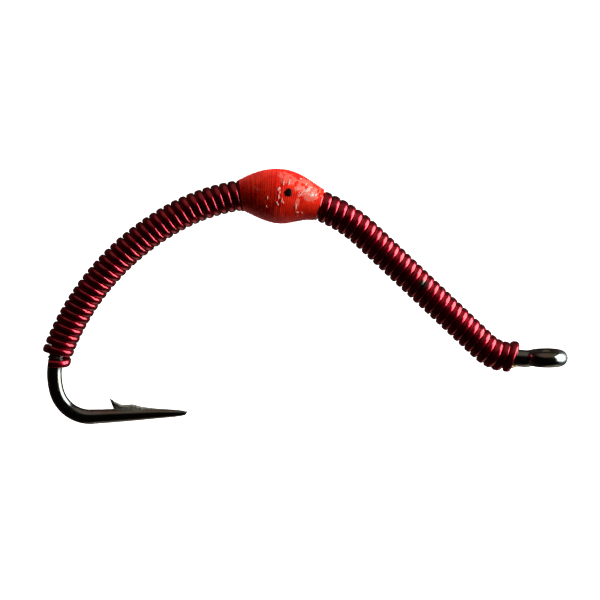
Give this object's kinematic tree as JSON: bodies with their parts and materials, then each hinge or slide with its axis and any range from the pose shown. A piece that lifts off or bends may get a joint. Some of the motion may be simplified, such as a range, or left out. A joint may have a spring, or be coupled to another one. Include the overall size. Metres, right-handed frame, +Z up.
{
  "type": "wire-bodied fishing fly",
  "caption": "Weighted wet fly on a bent-shank hook: fine enamelled wire wound over the whole shank, with a varnished thread hump on the crown.",
  "frame": {"origin": "centre of the hole in the hook's eye", "axes": "+Z up, along the hole of the eye; +X from the bend towards the eye, in the plane of the hook; +Y across the hook, away from the side with the painted dot"},
  "size_m": [0.0224, 0.0024, 0.011],
  "materials": {
    "hook_metal": "high-carbon steel wire with a polished black-nickel plating that looks bronze-black",
    "wire_enamel": "copper wire with clear wine-red enamel, glossy, with bare copper where it was cut",
    "thread": "fine waxed tying thread in orange-red, wound in close turns and soaked with varnish",
    "varnish": "clear head varnish, thin and glossy, patchy",
    "lacquer": "black lacquer, a flat round drop",
    "cement": "dark varnish set between turns of wire, glossy with a few bright flecks"
  },
  "bodies": {
    "root": {"hook": "hook_metal", "body_wire": "wire_enamel", "thread_hump": "thread", "hump_varnish": "varnish", "eye_dot": "lacquer", "head_cement": "cement", "tail_cement": "cement"}
  },
  "joints": []
}
